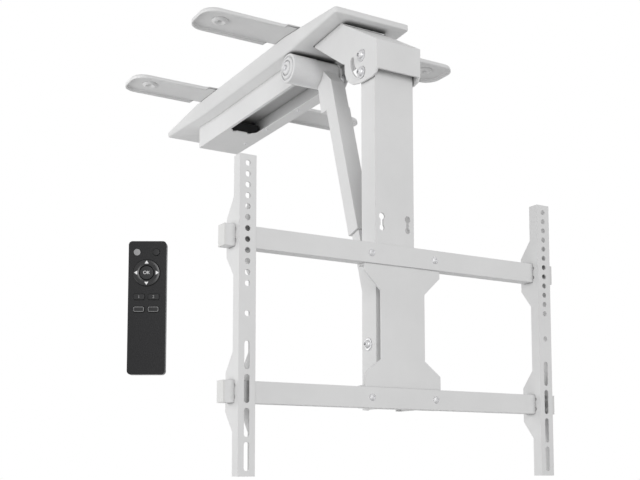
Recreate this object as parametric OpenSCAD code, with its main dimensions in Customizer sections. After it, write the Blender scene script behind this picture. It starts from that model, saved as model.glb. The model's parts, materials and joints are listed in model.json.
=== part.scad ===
// Motorized flip-down ceiling mount for a television, with its remote control.
// Origin: on the ceiling plane, mid width, midway between the two ceiling straps.
// +Z is up, -Y is the side that the screen faces when it is folded down.

/* [Sheet and fits] */
// Thickness of the tray, channel and rail sheet
sheet_t = 2; // [1.5:0.1:2.5]
// Thickness of the hinge bracket and of the I-shaped plate
plate_t = 3; // [2.5:0.1:4]
// Wall of the mast tube
mast_wall = 2.5; // [2:0.1:4]
// Wall of the cross bars
bar_wall = 2; // [1.5:0.1:3]
// Radial running clearance of a shaft in its hole
run_gap = 0.05; // [0.02:0.01:0.1]
// Clearance of pieces that slide or pass each other
slide_gap = 0.4; // [0.3:0.05:0.6]

/* [Ceiling tray] */
// Width of the tray
tray_w = 140; // [130:1:160]
// Distance from the origin to the front end of the tray
tray_front = 295; // [290:1:305]
// Distance from the origin to the rear end of the tray
tray_rear = 400; // [380:1:430]
// Depth of the tray at its two ends
tray_end_h = 12; // [10:0.5:15]
// Depth of the tray in its middle
tray_mid_h = 21; // [19:0.5:23]
// Distance from the origin to the front kink of the underside
kink_front = 154; // [140:1:170]
// Distance from the origin to the rear kink of the underside
kink_rear = 216; // [200:1:240]
// Radius of the tray's upright corners
tray_r = 8; // [5:0.5:12]
// Width of the lip that turns in round the tray's top edge
lip_w = 14; // [12:0.5:18]

/* [Ceiling straps] */
// Length of a strap
strap_l = 490; // [460:1:520]
// Width of a strap
strap_w = 78; // [70:1:85]
// Thickness of a strap
strap_t = 2.5; // [2:0.1:3]
// Distance between the two straps' centre lines
strap_pitch = 313; // [300:1:330]
// Distance between a strap's two ceiling holes
joist_pitch = 406.4; // [390:0.1:410]
// Radius of a ceiling hole
joist_hole_r = 4; // [3:0.1:5]
// Radius of a strap's corners
strap_r = 26; // [15:1:35]
// Total height of a strap's turned-down rim
rim_h = 8; // [6:0.5:9]
// Width of the rim
rim_w = 3; // [2.5:0.1:5]

/* [Hinge bracket] */
// Outer width of the bracket
bracket_w = 80; // [78:0.5:81]
// Distance from the pivot forward to the bracket's front face
web_reach = 43; // [41:0.5:46]
// Height of the bracket's front face
web_h = 45; // [40:0.5:50]
// Height of the front face's top edge above the pivot
web_rise = 11; // [9:0.5:12]
// Depth of the cheeks, front to back
cheek_d = 93; // [88:0.5:98]
// Distance from the pivot down to the cheeks' lowest edge
cheek_drop = 43; // [40:0.5:46]
// Slope of the bracket's arm
arm_slope = 31.7; // [30:0.1:33]

/* [Fold pivot] */
// Distance of the pivot in front of the origin
pivot_y = 323; // [321:0.5:324]
// Distance of the pivot below the ceiling
pivot_z = 87; // [86:0.5:89]
// Radius of the pivot bolt and of the guide bolt
bolt_r = 5; // [4:0.1:5.2]
// Distance from the pivot to the guide bolt
guide_r = 27; // [26:0.5:28]
// Radius of the big washers
washer_r = 9.5; // [9:0.1:10]
// Thickness of the big washers
washer_t = 1.5; // [1:0.1:2]

/* [Mast] */
// Width of the mast
mast_w = 70; // [66:0.5:71]
// Depth of the mast, front to back
mast_d = 38; // [37:0.5:39]
// Distance from the pivot back to the mast's rear face
mast_back = 9; // [8:0.5:10]
// Height of the mast's top above the pivot
mast_rise = 12; // [10:0.5:13]
// Distance from the ceiling to the mast's lower end
mast_end = 634; // [632:1:640]
// Width of the slot in the mast's rear wall
slot_w = 50; // [46:0.5:54]
// Distance from the ceiling to the slot's top
slot_top = 229; // [220:1:236]

/* [Cross bars and plate] */
// Length of a cross bar with its end caps
bar_l = 587; // [580:1:640]
// Height of a bar
bar_h = 30; // [28:0.5:32]
// Depth of a bar
bar_d = 20; // [18:0.5:22]
// Distance from the ceiling to the upper bar's centre
bar_top_z = 407; // [400:1:412]
// Distance between the two bars' centres
bar_pitch = 212; // [205:1:212]
// Distance between a bar's two bolts
bar_bolt_pitch = 114; // [110:1:118]
// Width of the I-shaped plate's ears
ear_w = 135; // [128:1:140]
// Width of the I-shaped plate's waist
waist_w = 78; // [74:1:84]

/* [Screen rails] */
// Distance between the two rails' hole lines
rail_pitch = 530; // [500:1:540]
// Width of a rail's face
rail_w = 25; // [24:0.5:28]
// Length of a rail
rail_l = 435; // [430:1:445]
// Depth of a rail's flanges
flange_d = 18; // [16:0.5:20]
// Depth of a rail's flanges where they hold a bar
hook_d = 40; // [38:0.5:43]
// Distance from the ceiling to a rail's top
rail_top = 297; // [290:1:300]
// Radius of a rail's holes and half width of its slots
rail_hole_r = 4; // [3:0.1:4.5]
// Distance between a rail's holes
hole_pitch = 15; // [14:0.1:15.5]
// Length of a rail's slot
rail_slot_l = 38.4; // [36:0.1:40]
// Distance between a rail's slots
rail_slot_pitch = 45; // [43:0.1:46]

/* [Actuator] */
// Distance of the actuator's trunnion in front of the origin
trunnion_y = 136; // [134:0.5:138]
// Distance of the trunnion below the ceiling
trunnion_z = 47; // [46.5:0.5:48]
// Distance from the trunnion's axis to the screw's axis
screw_offset = 28; // [27:0.1:28.4]
// Distance of the rod's pin in front of the fold's pivot
rod_pin_reach = 12; // [11:0.5:12.5]
// Distance of the rod's pin below the ceiling
rod_pin_z = 609; // [606:0.5:612]
// Width of the gearbox
gearbox_w = 40; // [38:0.5:41]
// Radius of the gearbox
gear_r = 24; // [23:0.1:24.4]
// Width of the gearbox's neck
neck_w = 26; // [24:0.5:28]
// Distance along the screw's axis from the trunnion to the neck's underside
neck_low = 86; // [84:0.5:88]
// Radius of the motor
motor_r = 24.5; // [23:0.1:24.6]
// Width of the strut's outer tube
tube_w = 28; // [27:0.5:28.5]
// Wall of the strut's outer tube
tube_wall = 2.5; // [2:0.1:3]
// Distance from the trunnion down to the tube's lower end
tube_end = 321.5; // [315:0.5:328]
// Width of the strut's inner rod
rod_w = 20; // [18:0.5:21]
// Length of the rod that stays in the tube when it is run out
rod_overlap = 22; // [20:1:24]

/* [Actuator channel] */
// Outer width of the channel
channel_w = 86; // [85:0.5:90]
// Distance from the ceiling to the channel's underside
channel_z = 61; // [60:0.5:64]
// Distance of the channel's front end in front of the origin
channel_front = 106; // [102:1:109]
// Distance from the trunnion forward to the front of the channel's ear
ear_reach = 18; // [16:0.5:18]
// Distance of the channel's rear end behind the origin
channel_rear = 291; // [280:1:300]
// Width of the slot in the channel's underside
run_slot_w = 56; // [54:0.5:58]
// Distance of the slot's middle to the left of the channel's
run_slot_x = 9; // [8:0.5:11]
// Distance of the slot's rear end behind the origin
run_slot_rear = 160; // [150:1:170]

/* [Remote control] */
// Width of the remote control
remote_w = 40; // [38:0.5:44]
// Length of the remote control
remote_l = 142; // [135:1:150]
// Thickness of the remote control
remote_t = 9; // [8:0.5:11]
// Travel of a key
key_travel = 0.8; // [0.5:0.1:1]

/* [Hidden] */
$fn = 48;
cut_over = 1;

bracket_inner = bracket_w / 2 - plate_t;
web_y = -pivot_y - web_reach;
web_top_z = -pivot_z + web_rise;
mast_front_y = -pivot_y + mast_back - mast_d;
mast_back_y = -pivot_y + mast_back;
mast_top_z = -pivot_z + mast_rise;
slope_run = (-strap_t - web_top_z) / tan(arm_slope);
front_strap_y = -strap_pitch / 2;
arm_tail_y = front_strap_y + strap_w / 2;
arm_gap = 3;
arm_room = 20;
arm_open_front = web_y + slope_run - arm_room;
arm_open_rear = -176;
floor_gap = 3;
neck_out = 6;
neck_rise = 6;

// Height of the tray's underside at a place along it
function under_z(y) =
    y < -kink_front ? -tray_end_h - (tray_mid_h - tray_end_h) * (y + tray_front) / (tray_front - kink_front)
    : y > kink_rear ? -tray_end_h - (tray_mid_h - tray_end_h) * (tray_rear - y) / (tray_rear - kink_rear)
    : -tray_mid_h;

// Place of the bars and of the plate behind them
bar_back_y = mast_front_y - plate_t;
bar_front_y = bar_back_y - bar_d;
bar_zs = [-bar_top_z, -bar_top_z - bar_pitch];
face_y = bar_front_y + plate_t;
ear_chamfer = 27;
ear_straight = 12;
low_ear_straight = 20;
low_chamfer = 22;
bar_bolt_r = 3;
bar_head_r = 5.5;
bar_head_h = 4;
nut_r = 6;
nut_h = 4;
bar_bolt_tail = 5;
cap_t = 2.5;
cap_plug = 10;

// Rails
rail_gap = 11;
rail_front_y = bar_front_y - rail_gap - sheet_t;
rail_first_hole = 12;
rail_hole_count = 12;
rail_single_drop = 205.7;
rail_slot_drop = 261.7;
rail_slot_count = 4;
hook_flat = 27;
hook_flare = 27;
scallop_r = 3;
clamp_screw_r = 3;
clamp_head_r = 6.5;
clamp_head_h = 5;

// Strut geometry, from the trunnion, the rod's pin and the offset between trunnion and screw
rod_pin_y = pivot_y + rod_pin_reach;
span_y = rod_pin_y - trunnion_y;
span_z = rod_pin_z - trunnion_z;
span = sqrt(span_y * span_y + span_z * span_z);
strut_tilt = atan2(span_y, span_z) - asin(screw_offset / span);
strut_l = sqrt(span * span - screw_offset * screw_offset);
bore_top = 40;
neck_front = 13;
neck_back = 32;
gear_step = 4;
ear_cut = 11;
rod_top = tube_end - rod_overlap;
rod_end_r = 11;
rod_end_l = 20;
rod_pin_r = 6;
pin_gap = 0.5;
bush_l = 20;
bush_w = tube_w - tube_wall * 2;
trunnion_r = 6;
trunnion_boss_r = 9;
trunnion_head_r = 9;
trunnion_head_t = 3;
cover_t = 2;
cover_r = 25.4;
cover_lobe_r = 28;
cover_screw_r = 2.5;
cover_screw_h = 1.5;
cover_screw_ring = 20;
cover_screw_angles = [-170, -100, 60];

// Motor
motor_out = tray_w / 2;
motor_cap_t = 4;
motor_bolt_r = 4.5;
motor_bolt_h = 3;
motor_ring_r = 18;
motor_ring_w = 2;
motor_ring_d = 0.8;

// Keyholes in the mast's front, and the two side bolts: mirrored or not, distance in front of
// the pivot and distance below it
keyhole_x = 23.5;
keyhole_z = 343.5;
keyhole_drop = 17.5;
keyhole_r = 5.2;
keyhole_small_r = 4.4;
keyhole_neck = 5;
side_screws = [[1, 8, 449], [0, 17, 142]];
side_screw_r = 4;
side_head_r = 6.5;
side_head_h = 5;
head_r = 6.5;
head_h = 6;
thin_head_h = 3;
guide_half = 5.4;
guide_extra = 4;

// Strap and channel fasteners
rivet_r = 3;
rivet_head_r = 5;
rivet_head_h = 2;
rivet_inset = 7;
rivet_half_pitch = 25;
dimple_r = 12;
dimple_h = 2;
dimple_top_r = 9;
channel_screw_r = 2.5;
channel_head_r = 4;
channel_head_h = 2;
channel_screw_x = 27;
channel_screw_ys = [218, 119, -3];
lobe_r = 5;
lobe_x = 16;
run_slot_r = 12;
inlet_w = 22;
inlet_h = 16;
inlet_d = 14;
inlet_rim = 2;
inlet_hole_r = 3;
inlet_pin_r = 1;
control_l = 95;
control_h = 26;
control_gap = 2;
control_side_gap = 4;

// Remote control: place and tilt to the room, and the places of its keys
remote_at = [-480, -586, -553];
remote_turn = -30.24;
remote_r = 4;
remote_back_t = 3;
remote_edge = 1;
pocket_d = 3.5;
key_gap = 0.25;
key_proud = 0.8;
small_key_r = 3.6;
ring_r = 14.2;
ring_bore_r = 7.9;
ok_r = 7.3;
bar_key_w = 11.6;
bar_key_h = 6;
bar_key_r = 1.5;
row_power = 59;
row_ring = 37;
row_number = 11.2;
row_memory = -2;
col_left = -8.4;
col_right = 6.9;
col_power = -11;
col_light = 9.2;
col_ring = -0.7;

// Side profile given as [y, z], drawn out along X between two places
module along_x(x0, x1) {
    translate([x0, 0, 0]) rotate([90, 0, 90]) linear_extrude(x1 - x0) children();
}

// Front outline given as [x, z], drawn out along Y between two places
module along_y(y0, y1) {
    translate([0, y1, 0]) rotate([90, 0, 0]) linear_extrude(y1 - y0) children();
}

module x_rod(r, x0, x1, y, z) {
    along_x(x0, x1) translate([y, z]) circle(r);
}

module y_rod(r, y0, y1, x, z) {
    along_y(y0, y1) translate([x, z]) circle(r);
}

module rounded_rect(w, h, r) {
    square([w - 2 * r, h], center = true);
    square([w, h - 2 * r], center = true);
    for (sx = [-1, 1], sy = [-1, 1]) translate([sx * (w / 2 - r), sy * (h / 2 - r)]) circle(r);
}

// Round-ended slot, upright
module slot_2d(l, r) {
    square([2 * r, l - 2 * r], center = true);
    for (s = [-1, 1]) translate([0, s * (l / 2 - r)]) circle(r);
}

module box_between(a, b) {
    translate(a) cube(b - a);
}

// Tray

module tray_plan(inset) {
    translate([0, (tray_rear - tray_front) / 2])
        rounded_rect(tray_w - 2 * inset, tray_rear + tray_front - 2 * inset, tray_r - inset);
}

module tray_side(raise) {
    polygon([
        [-tray_front, -strap_t], [-tray_front, raise - tray_end_h], [-kink_front, raise - tray_mid_h],
        [kink_rear, raise - tray_mid_h], [tray_rear, raise - tray_end_h], [tray_rear, -strap_t]
    ]);
}

module tray_body(inset, raise) {
    intersection() {
        along_x(-tray_w, tray_w) tray_side(raise);
        translate([0, 0, -tray_mid_h - cut_over])
            linear_extrude(tray_mid_h + cut_over) tray_plan(inset);
    }
}

module tray_mouth() {
    translate([0, (tray_rear - tray_front) / 2])
        square([tray_w - 2 * lip_w, tray_rear + tray_front - 2 * lip_w], center = true);
}

module tray() {
    color("white") difference() {
        tray_body(0, 0);
        difference() {
            tray_body(sheet_t, sheet_t);
            translate([0, 0, -strap_t - sheet_t]) linear_extrude(sheet_t + cut_over) difference() {
                tray_plan(0);
                tray_mouth();
            }
        }
        translate([0, 0, -strap_t - sheet_t / 2]) linear_extrude(sheet_t) tray_mouth();
        box_between(
            [-bracket_w / 2 - arm_gap, arm_open_front, -tray_mid_h - cut_over],
            [bracket_w / 2 + arm_gap, arm_open_rear, -strap_t - sheet_t - cut_over]);
        rivet_rods(-strap_t - sheet_t - cut_over, cut_over, rivet_r);
    }
}

module rivet_rods(z0, z1, r) {
    for (s = [-1, 1], x = [-1, 1], y = [-1, 1])
        translate([x * (tray_w / 2 - rivet_inset), s * strap_pitch / 2 + y * rivet_half_pitch, z0])
            cylinder(r = r, h = z1 - z0);
}

module strap_rivets() {
    low = -strap_t - sheet_t;
    color("silver") {
        rivet_rods(low, 0, rivet_r);
        rivet_rods(low - rivet_head_h, low, rivet_head_r);
    }
}

// Straps

module strap(side) {
    rim_clear = tray_w / 2 + slide_gap;
    color("white") translate([0, side * strap_pitch / 2, 0]) difference() {
        union() {
            translate([0, 0, -strap_t]) linear_extrude(strap_t) rounded_rect(strap_l, strap_w, strap_r);
            difference() {
                translate([0, 0, -rim_h]) linear_extrude(rim_h - strap_t / 2)
                    rounded_rect(strap_l, strap_w, strap_r);
                translate([0, 0, -rim_h - cut_over]) linear_extrude(rim_h + cut_over)
                    rounded_rect(strap_l - 2 * rim_w, strap_w - 2 * rim_w, strap_r - rim_w);
                translate([-rim_clear, -strap_w, -rim_h - cut_over])
                    cube([2 * rim_clear, 2 * strap_w, rim_h + cut_over - strap_t]);
            }
            for (s = [-1, 1]) translate([s * joist_pitch / 2, 0, -strap_t - dimple_h])
                cylinder(r1 = dimple_top_r, r2 = dimple_r, h = dimple_h + strap_t / 2);
        }
        for (s = [-1, 1]) translate([s * joist_pitch / 2, 0, -rim_h])
            cylinder(r = joist_hole_r, h = rim_h + cut_over);
        translate([0, -side * strap_pitch / 2, 0]) {
            rivet_rods(-rim_h, cut_over, rivet_r);
            bracket_bolt_rods(-rim_h, cut_over, rivet_r);
        }
    }
}

module front_strap() {
    strap(-1);
}

module rear_strap() {
    strap(1);
}

// Channel under the tray

module channel_side() {
    polygon([
        [-channel_front, -tray_mid_h], [kink_rear, -tray_mid_h],
        [channel_rear, under_z(channel_rear)], [channel_rear, -channel_z], [-channel_front, -channel_z]
    ]);
}

// Ear of the channel's right wall, which carries the trunnion
module ear_side() {
    front = -trunnion_y - ear_reach;
    polygon([
        [front, -tray_mid_h], [front, -channel_z + ear_cut], [front + ear_cut, -channel_z],
        [-channel_front, -channel_z], [-channel_front, -tray_mid_h]
    ]);
}

module run_slot(z0, z1) {
    w = run_slot_w;
    translate([-run_slot_x, 0, z0]) linear_extrude(z1 - z0) {
        translate([-w / 2, -channel_front - cut_over])
            square([w, channel_front + run_slot_rear - run_slot_r + cut_over]);
        translate([0, run_slot_rear - run_slot_r * 2]) rounded_rect(w, run_slot_r * 4, run_slot_r);
        for (s = [-1, 1]) translate([s * lobe_x, run_slot_rear]) circle(lobe_r);
    }
}

module actuator_channel() {
    half = channel_w / 2;
    color("white") difference() {
        union() {
            along_x(-half, half) channel_side();
            along_x(half - sheet_t, half) ear_side();
        }
        box_between(
            [-half + sheet_t, -channel_front - cut_over, -channel_z + sheet_t],
            [half - sheet_t, channel_rear + cut_over, 0]);
        run_slot(-channel_z - cut_over, -channel_z + sheet_t + cut_over);
        x_rod(trunnion_r + run_gap, 0, half + cut_over, -trunnion_y, -trunnion_z);
        channel_screw_rods(-channel_z - cut_over, -channel_z + sheet_t + cut_over, channel_screw_r);
    }
}

module channel_screw_rods(z0, z1, r) {
    for (y = channel_screw_ys) translate([channel_screw_x, y, z0]) cylinder(r = r, h = z1 - z0);
}

module channel_screws() {
    color("silver") {
        channel_screw_rods(-channel_z, -channel_z + sheet_t, channel_screw_r);
        channel_screw_rods(-channel_z - channel_head_h, -channel_z, channel_head_r);
    }
}

inlet_z = -(channel_z + tray_mid_h) / 2;
module channel_end_plate() {
    half = channel_w / 2 - sheet_t;
    color("white") difference() {
        box_between(
            [-half, channel_rear - sheet_t, -channel_z + sheet_t],
            [half, channel_rear, under_z(channel_rear - sheet_t)]);
        along_y(channel_rear - sheet_t - cut_over, channel_rear + cut_over)
            translate([0, inlet_z]) square([inlet_w, inlet_h], center = true);
    }
}

module power_inlet() {
    color("dimgray") difference() {
        union() {
            along_y(channel_rear - inlet_d, channel_rear)
                translate([0, inlet_z]) square([inlet_w, inlet_h], center = true);
            along_y(channel_rear, channel_rear + inlet_rim)
                translate([0, inlet_z])
                square([inlet_w + 2 * inlet_rim, inlet_h + 2 * inlet_rim], center = true);
        }
        y_rod(inlet_hole_r, channel_rear - inlet_d / 2, channel_rear + inlet_rim + cut_over, 0, inlet_z);
    }
    color("gold") y_rod(inlet_pin_r, channel_rear - inlet_d / 2, channel_rear, 0, inlet_z);
}

module control_box() {
    half = channel_w / 2 - sheet_t - control_side_gap;
    rear = channel_rear - inlet_d - control_gap;
    color("dimgray") box_between(
        [-half, rear - control_l, -channel_z + sheet_t],
        [half, rear, -channel_z + sheet_t + control_h]);
}

// Hinge bracket

// Lower lobe of a cheek, as shares of its depth and of its drop below the pivot
lobe_shares = [
    [0.05, 0.93], [0.17, 1], [0.43, 0.99], [0.58, 0.95], [0.75, 0.87],
    [0.87, 0.71], [0.94, 0.53], [0.99, 0.26], [1, -0.09]
];

module cheek_side() {
    floor_in = -tray_mid_h + sheet_t + floor_gap;
    polygon(concat(
        [[web_y, web_top_z - web_h]],
        [for (s = lobe_shares) [web_y + s[0] * cheek_d, -pivot_z - s[1] * cheek_drop]],
        [
            [web_y + cheek_d + neck_out, -pivot_z + neck_rise],
            [arm_open_rear - plate_t, -tray_mid_h],
            [arm_open_rear - plate_t, floor_in],
            [arm_tail_y, floor_in],
            [arm_tail_y, -strap_t],
            [web_y + slope_run, -strap_t],
            [web_y, web_top_z]
        ]));
}

module bracket_skin_side() {
    inner_drop = plate_t / cos(arm_slope);
    polygon([
        [web_y, web_top_z - web_h], [web_y, web_top_z], [web_y + slope_run, -strap_t],
        [arm_tail_y, -strap_t], [arm_tail_y, -strap_t - plate_t],
        [web_y + slope_run + (inner_drop - plate_t) / tan(arm_slope), -strap_t - plate_t],
        [web_y + plate_t, web_top_z - inner_drop + plate_t * tan(arm_slope)],
        [web_y + plate_t, web_top_z - web_h]
    ]);
}

module guide_slot_2d() {
    translate([-pivot_y, -pivot_z]) {
        difference() {
            circle(guide_r + guide_half);
            circle(guide_r - guide_half);
            rotate(guide_extra) square(guide_r * 4);
            rotate(90) square(guide_r * 4);
            rotate(180 - guide_extra) square(guide_r * 4);
        }
        for (a = [guide_extra, -90 - guide_extra]) rotate(a) translate([guide_r, 0]) circle(bolt_r);
    }
}

module hinge_bracket() {
    half = bracket_w / 2;
    color("white") difference() {
        union() {
            for (s = [0, 1]) mirror([s, 0, 0]) along_x(bracket_inner, half) cheek_side();
            along_x(-half, half) bracket_skin_side();
        }
        along_x(-half - cut_over, half + cut_over) guide_slot_2d();
        x_rod(bolt_r, -half - cut_over, half + cut_over, -pivot_y, -pivot_z);
        bracket_bolt_rods(-strap_t - plate_t - cut_over, cut_over, rivet_r);
    }
}

module bracket_bolt_rods(z0, z1, r, sides = 0) {
    for (x = [-1, 1], y = [-1, 1])
        translate([x * rivet_half_pitch, front_strap_y + y * rivet_half_pitch, z0])
            cylinder(r = r, h = z1 - z0, $fn = sides > 0 ? sides : $fn);
}

module bracket_bolts() {
    low = -strap_t - plate_t;
    color("silver") {
        bracket_bolt_rods(low, 0, rivet_r);
        bracket_bolt_rods(low - thin_head_h, low, rivet_head_r, 6);
    }
}

// Pivot

module pivot_bolt() {
    out = bracket_w / 2 + washer_t;
    color("silver") {
        x_rod(bolt_r, -out, out, -pivot_y, -pivot_z);
        for (s = [0, 1]) mirror([s, 0, 0]) x_rod(head_r, out, out + head_h, -pivot_y, -pivot_z);
    }
}

module pivot_washers() {
    out = bracket_w / 2;
    color("silver") for (s = [0, 1]) mirror([s, 0, 0]) difference() {
        x_rod(washer_r, out, out + washer_t, -pivot_y, -pivot_z);
        x_rod(bolt_r, out - cut_over, out + washer_t + cut_over, -pivot_y, -pivot_z);
    }
}

module pivot_spacers() {
    color("ivory") for (s = [0, 1]) mirror([s, 0, 0]) difference() {
        x_rod(washer_r, mast_w / 2 + slide_gap, bracket_inner, -pivot_y, -pivot_z);
        x_rod(bolt_r, mast_w / 2, bracket_inner + cut_over, -pivot_y, -pivot_z);
    }
}

// Mast

module keyhole_2d(x) {
    translate([x, -keyhole_z]) circle(keyhole_r);
    translate([x, -keyhole_z - keyhole_drop]) circle(keyhole_small_r);
    translate([x - keyhole_neck / 2, -keyhole_z - keyhole_drop]) square([keyhole_neck, keyhole_drop]);
}

module mast() {
    half = mast_w / 2;
    color("white") difference() {
        box_between([-half, mast_front_y, -mast_end], [half, mast_back_y, mast_top_z]);
        box_between(
            [-half + mast_wall, mast_front_y + mast_wall, -mast_end - cut_over],
            [half - mast_wall, mast_back_y - mast_wall, mast_top_z + cut_over]);
        box_between(
            [-slot_w / 2, mast_back_y - mast_wall - cut_over, -mast_end - cut_over],
            [slot_w / 2, mast_back_y + cut_over, -slot_top]);
        along_y(mast_front_y - cut_over, mast_front_y + mast_wall + cut_over)
            for (s = [-1, 1]) keyhole_2d(s * keyhole_x);
        x_rod(bolt_r + run_gap, -half - cut_over, half + cut_over, -pivot_y, -pivot_z);
        x_rod(bolt_r, -half - cut_over, half + cut_over, -pivot_y, -pivot_z - guide_r);
        for (p = side_screws)
            mirror([p[0], 0, 0])
                x_rod(side_screw_r, 0, half + cut_over, -pivot_y - p[1], -pivot_z - p[2]);
        x_rod(rod_pin_r, -half - cut_over, half + cut_over, -rod_pin_y, -rod_pin_z);
    }
}

module guide_bolts() {
    out = bracket_w / 2 + slide_gap + washer_t;
    color("silver") {
        x_rod(bolt_r, -out, out, -pivot_y, -pivot_z - guide_r);
        for (s = [0, 1]) mirror([s, 0, 0]) x_rod(head_r, out, out + head_h, -pivot_y, -pivot_z - guide_r);
    }
}

module guide_washers() {
    inner = bracket_w / 2 + slide_gap;
    color("silver") for (s = [0, 1]) mirror([s, 0, 0]) difference() {
        x_rod(washer_r, inner, inner + washer_t, -pivot_y, -pivot_z - guide_r);
        x_rod(bolt_r, inner - cut_over, inner + washer_t + cut_over, -pivot_y, -pivot_z - guide_r);
    }
}

module strut_pins() {
    color("silver") for (s = [0, 1]) mirror([s, 0, 0])
        x_rod(rod_pin_r, rod_w / 2 + pin_gap, mast_w / 2, -rod_pin_y, -rod_pin_z);
}

module side_bolts() {
    half = mast_w / 2;
    color("silver") for (p = side_screws) mirror([p[0], 0, 0])
        translate([0, -pivot_y - p[1], -pivot_z - p[2]]) {
            x_rod(side_screw_r, half - mast_wall, half + washer_t, 0, 0);
            x_rod(washer_r, half, half + washer_t, 0, 0);
            x_rod(side_head_r, half + washer_t, half + washer_t + side_head_h, 0, 0);
        }
}

// Plate and bars

ear_top_z = bar_zs[0] + bar_h / 2;
step_top_z = bar_zs[0] - bar_h / 2;
step_low_z = bar_zs[1] + bar_h / 2;
ear_low_z = bar_zs[1] - bar_h / 2;

module plate_side() {
    polygon([
        [mast_front_y, ear_top_z], [bar_back_y, ear_top_z], [bar_back_y, step_top_z], [face_y, step_top_z],
        [face_y, step_low_z], [bar_back_y, step_low_z], [bar_back_y, ear_low_z], [mast_front_y, ear_low_z],
        [mast_front_y, step_low_z + plate_t], [face_y + plate_t, step_low_z + plate_t],
        [face_y + plate_t, step_top_z - plate_t], [mast_front_y, step_top_z - plate_t]
    ]);
}

module plate_front() {
    a = ear_w / 2;
    b = waist_w / 2;
    z1 = step_top_z - ear_straight;
    z2 = z1 - ear_chamfer;
    z4 = step_low_z + low_ear_straight;
    z3 = z4 + low_chamfer;
    polygon([
        [-a, ear_top_z], [a, ear_top_z], [a, z1], [b, z2], [b, z3], [a, z4],
        [a, ear_low_z], [-a, ear_low_z], [-a, z4], [-b, z3], [-b, z2], [-a, z1]
    ]);
}

module bar_bolt_rods(r, y0, y1, sides = 0) {
    for (z = bar_zs, s = [-1, 1]) along_y(y0, y1)
        translate([s * bar_bolt_pitch / 2, z]) circle(r, $fn = sides > 0 ? sides : $fn);
}

module screen_plate() {
    color("white") difference() {
        intersection() {
            along_x(-ear_w, ear_w) plate_side();
            along_y(face_y - cut_over, mast_front_y + cut_over) plate_front();
        }
        bar_bolt_rods(bar_bolt_r, bar_back_y - cut_over, mast_front_y + cut_over);
    }
}

module bar(z) {
    half = bar_l / 2 - cap_t;
    color("white") difference() {
        box_between([-half, bar_front_y, z - bar_h / 2], [half, bar_back_y, z + bar_h / 2]);
        box_between(
            [-half - cut_over, bar_front_y + bar_wall, z - bar_h / 2 + bar_wall],
            [half + cut_over, bar_back_y - bar_wall, z + bar_h / 2 - bar_wall]);
        bar_bolt_rods(bar_bolt_r, bar_front_y - cut_over, bar_back_y + cut_over);
    }
}

module upper_bar() {
    bar(bar_zs[0]);
}

module lower_bar() {
    bar(bar_zs[1]);
}

module bar_bolts() {
    color("silver") {
        bar_bolt_rods(bar_bolt_r, bar_front_y, mast_front_y + bar_bolt_tail);
        bar_bolt_rods(bar_head_r, bar_front_y - bar_head_h, bar_front_y);
    }
}

module bar_nuts() {
    color("silver") difference() {
        bar_bolt_rods(nut_r, mast_front_y, mast_front_y + nut_h, 6);
        bar_bolt_rods(bar_bolt_r, mast_front_y - cut_over, mast_front_y + nut_h + cut_over);
    }
}

module bar_end_caps() {
    half = bar_l / 2;
    mid_y = (bar_front_y + bar_back_y) / 2;
    color("whitesmoke") for (z = bar_zs, s = [0, 1]) mirror([s, 0, 0]) {
        along_x(half - cap_t, half) translate([mid_y, z]) square([bar_d, bar_h], center = true);
        along_x(half - cap_t - cap_plug, half - cap_t) translate([mid_y, z])
            square([bar_d - 2 * bar_wall, bar_h - 2 * bar_wall], center = true);
    }
}

// Rails

module rail_side() {
    y0 = rail_front_y;
    y1 = y0 + flange_d;
    y2 = y0 + hook_d;
    polygon(concat(
        [[y0, -rail_top], [y1, -rail_top]],
        [for (z = bar_zs, p = [
            [y1, hook_flat + hook_flare], [y2, hook_flat], [y2, -hook_flat], [y1, -hook_flat - hook_flare]
        ]) [p[0], z + p[1]]],
        [[y1, -rail_top - rail_l], [y0, -rail_top - rail_l]]));
}

module rail(side) {
    x0 = side * rail_pitch / 2;
    half = rail_w / 2;
    y0 = rail_front_y;
    first_z = -rail_top - rail_first_hole;
    color("white") difference() {
        along_x(x0 - half, x0 + half) rail_side();
        box_between(
            [x0 - half + sheet_t, y0 + sheet_t, -rail_top - rail_l - cut_over],
            [x0 + half - sheet_t, y0 + hook_d + cut_over, -rail_top + cut_over]);
        for (z = bar_zs) {
            box_between(
                [x0 - rail_w, bar_front_y - slide_gap, z - bar_h / 2 - slide_gap],
                [x0 + rail_w, bar_back_y + slide_gap, z + bar_h / 2 + slide_gap]);
            for (s = [-1, 1])
                x_rod(scallop_r, x0 - rail_w, x0 + rail_w, bar_front_y - slide_gap, z + s * bar_h / 4);
            y_rod(clamp_screw_r, bar_back_y, y0 + hook_d + cut_over, x0, z);
        }
        along_y(y0 - cut_over, y0 + sheet_t + cut_over) {
            for (i = [0 : rail_hole_count - 1])
                translate([x0, first_z - i * hole_pitch]) circle(rail_hole_r);
            translate([x0, first_z - rail_single_drop]) circle(rail_hole_r);
            for (i = [0 : rail_slot_count - 1])
                translate([x0, first_z - rail_slot_drop - i * rail_slot_pitch])
                slot_2d(rail_slot_l, rail_hole_r);
        }
    }
}

// Saddle that bridges a rail's two flanges behind each bar, with its clamp screw
module rail_saddles(side) {
    x0 = side * rail_pitch / 2;
    inner = rail_w / 2 - sheet_t;
    y1 = rail_front_y + hook_d;
    color("silver") for (z = bar_zs) {
        box_between([x0 - inner, y1 - sheet_t, z - bar_h / 2], [x0 + inner, y1, z + bar_h / 2]);
        y_rod(clamp_screw_r, bar_back_y + slide_gap, y1, x0, z);
        y_rod(clamp_head_r, y1, y1 + clamp_head_h, x0, z);
    }
}

module left_rail() {
    rail(-1);
}

module right_rail() {
    rail(1);
}

module left_rail_screws() {
    rail_saddles(-1);
}

module right_rail_screws() {
    rail_saddles(1);
}

// Actuator, drawn about its trunnion with the screw's axis upright

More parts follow.
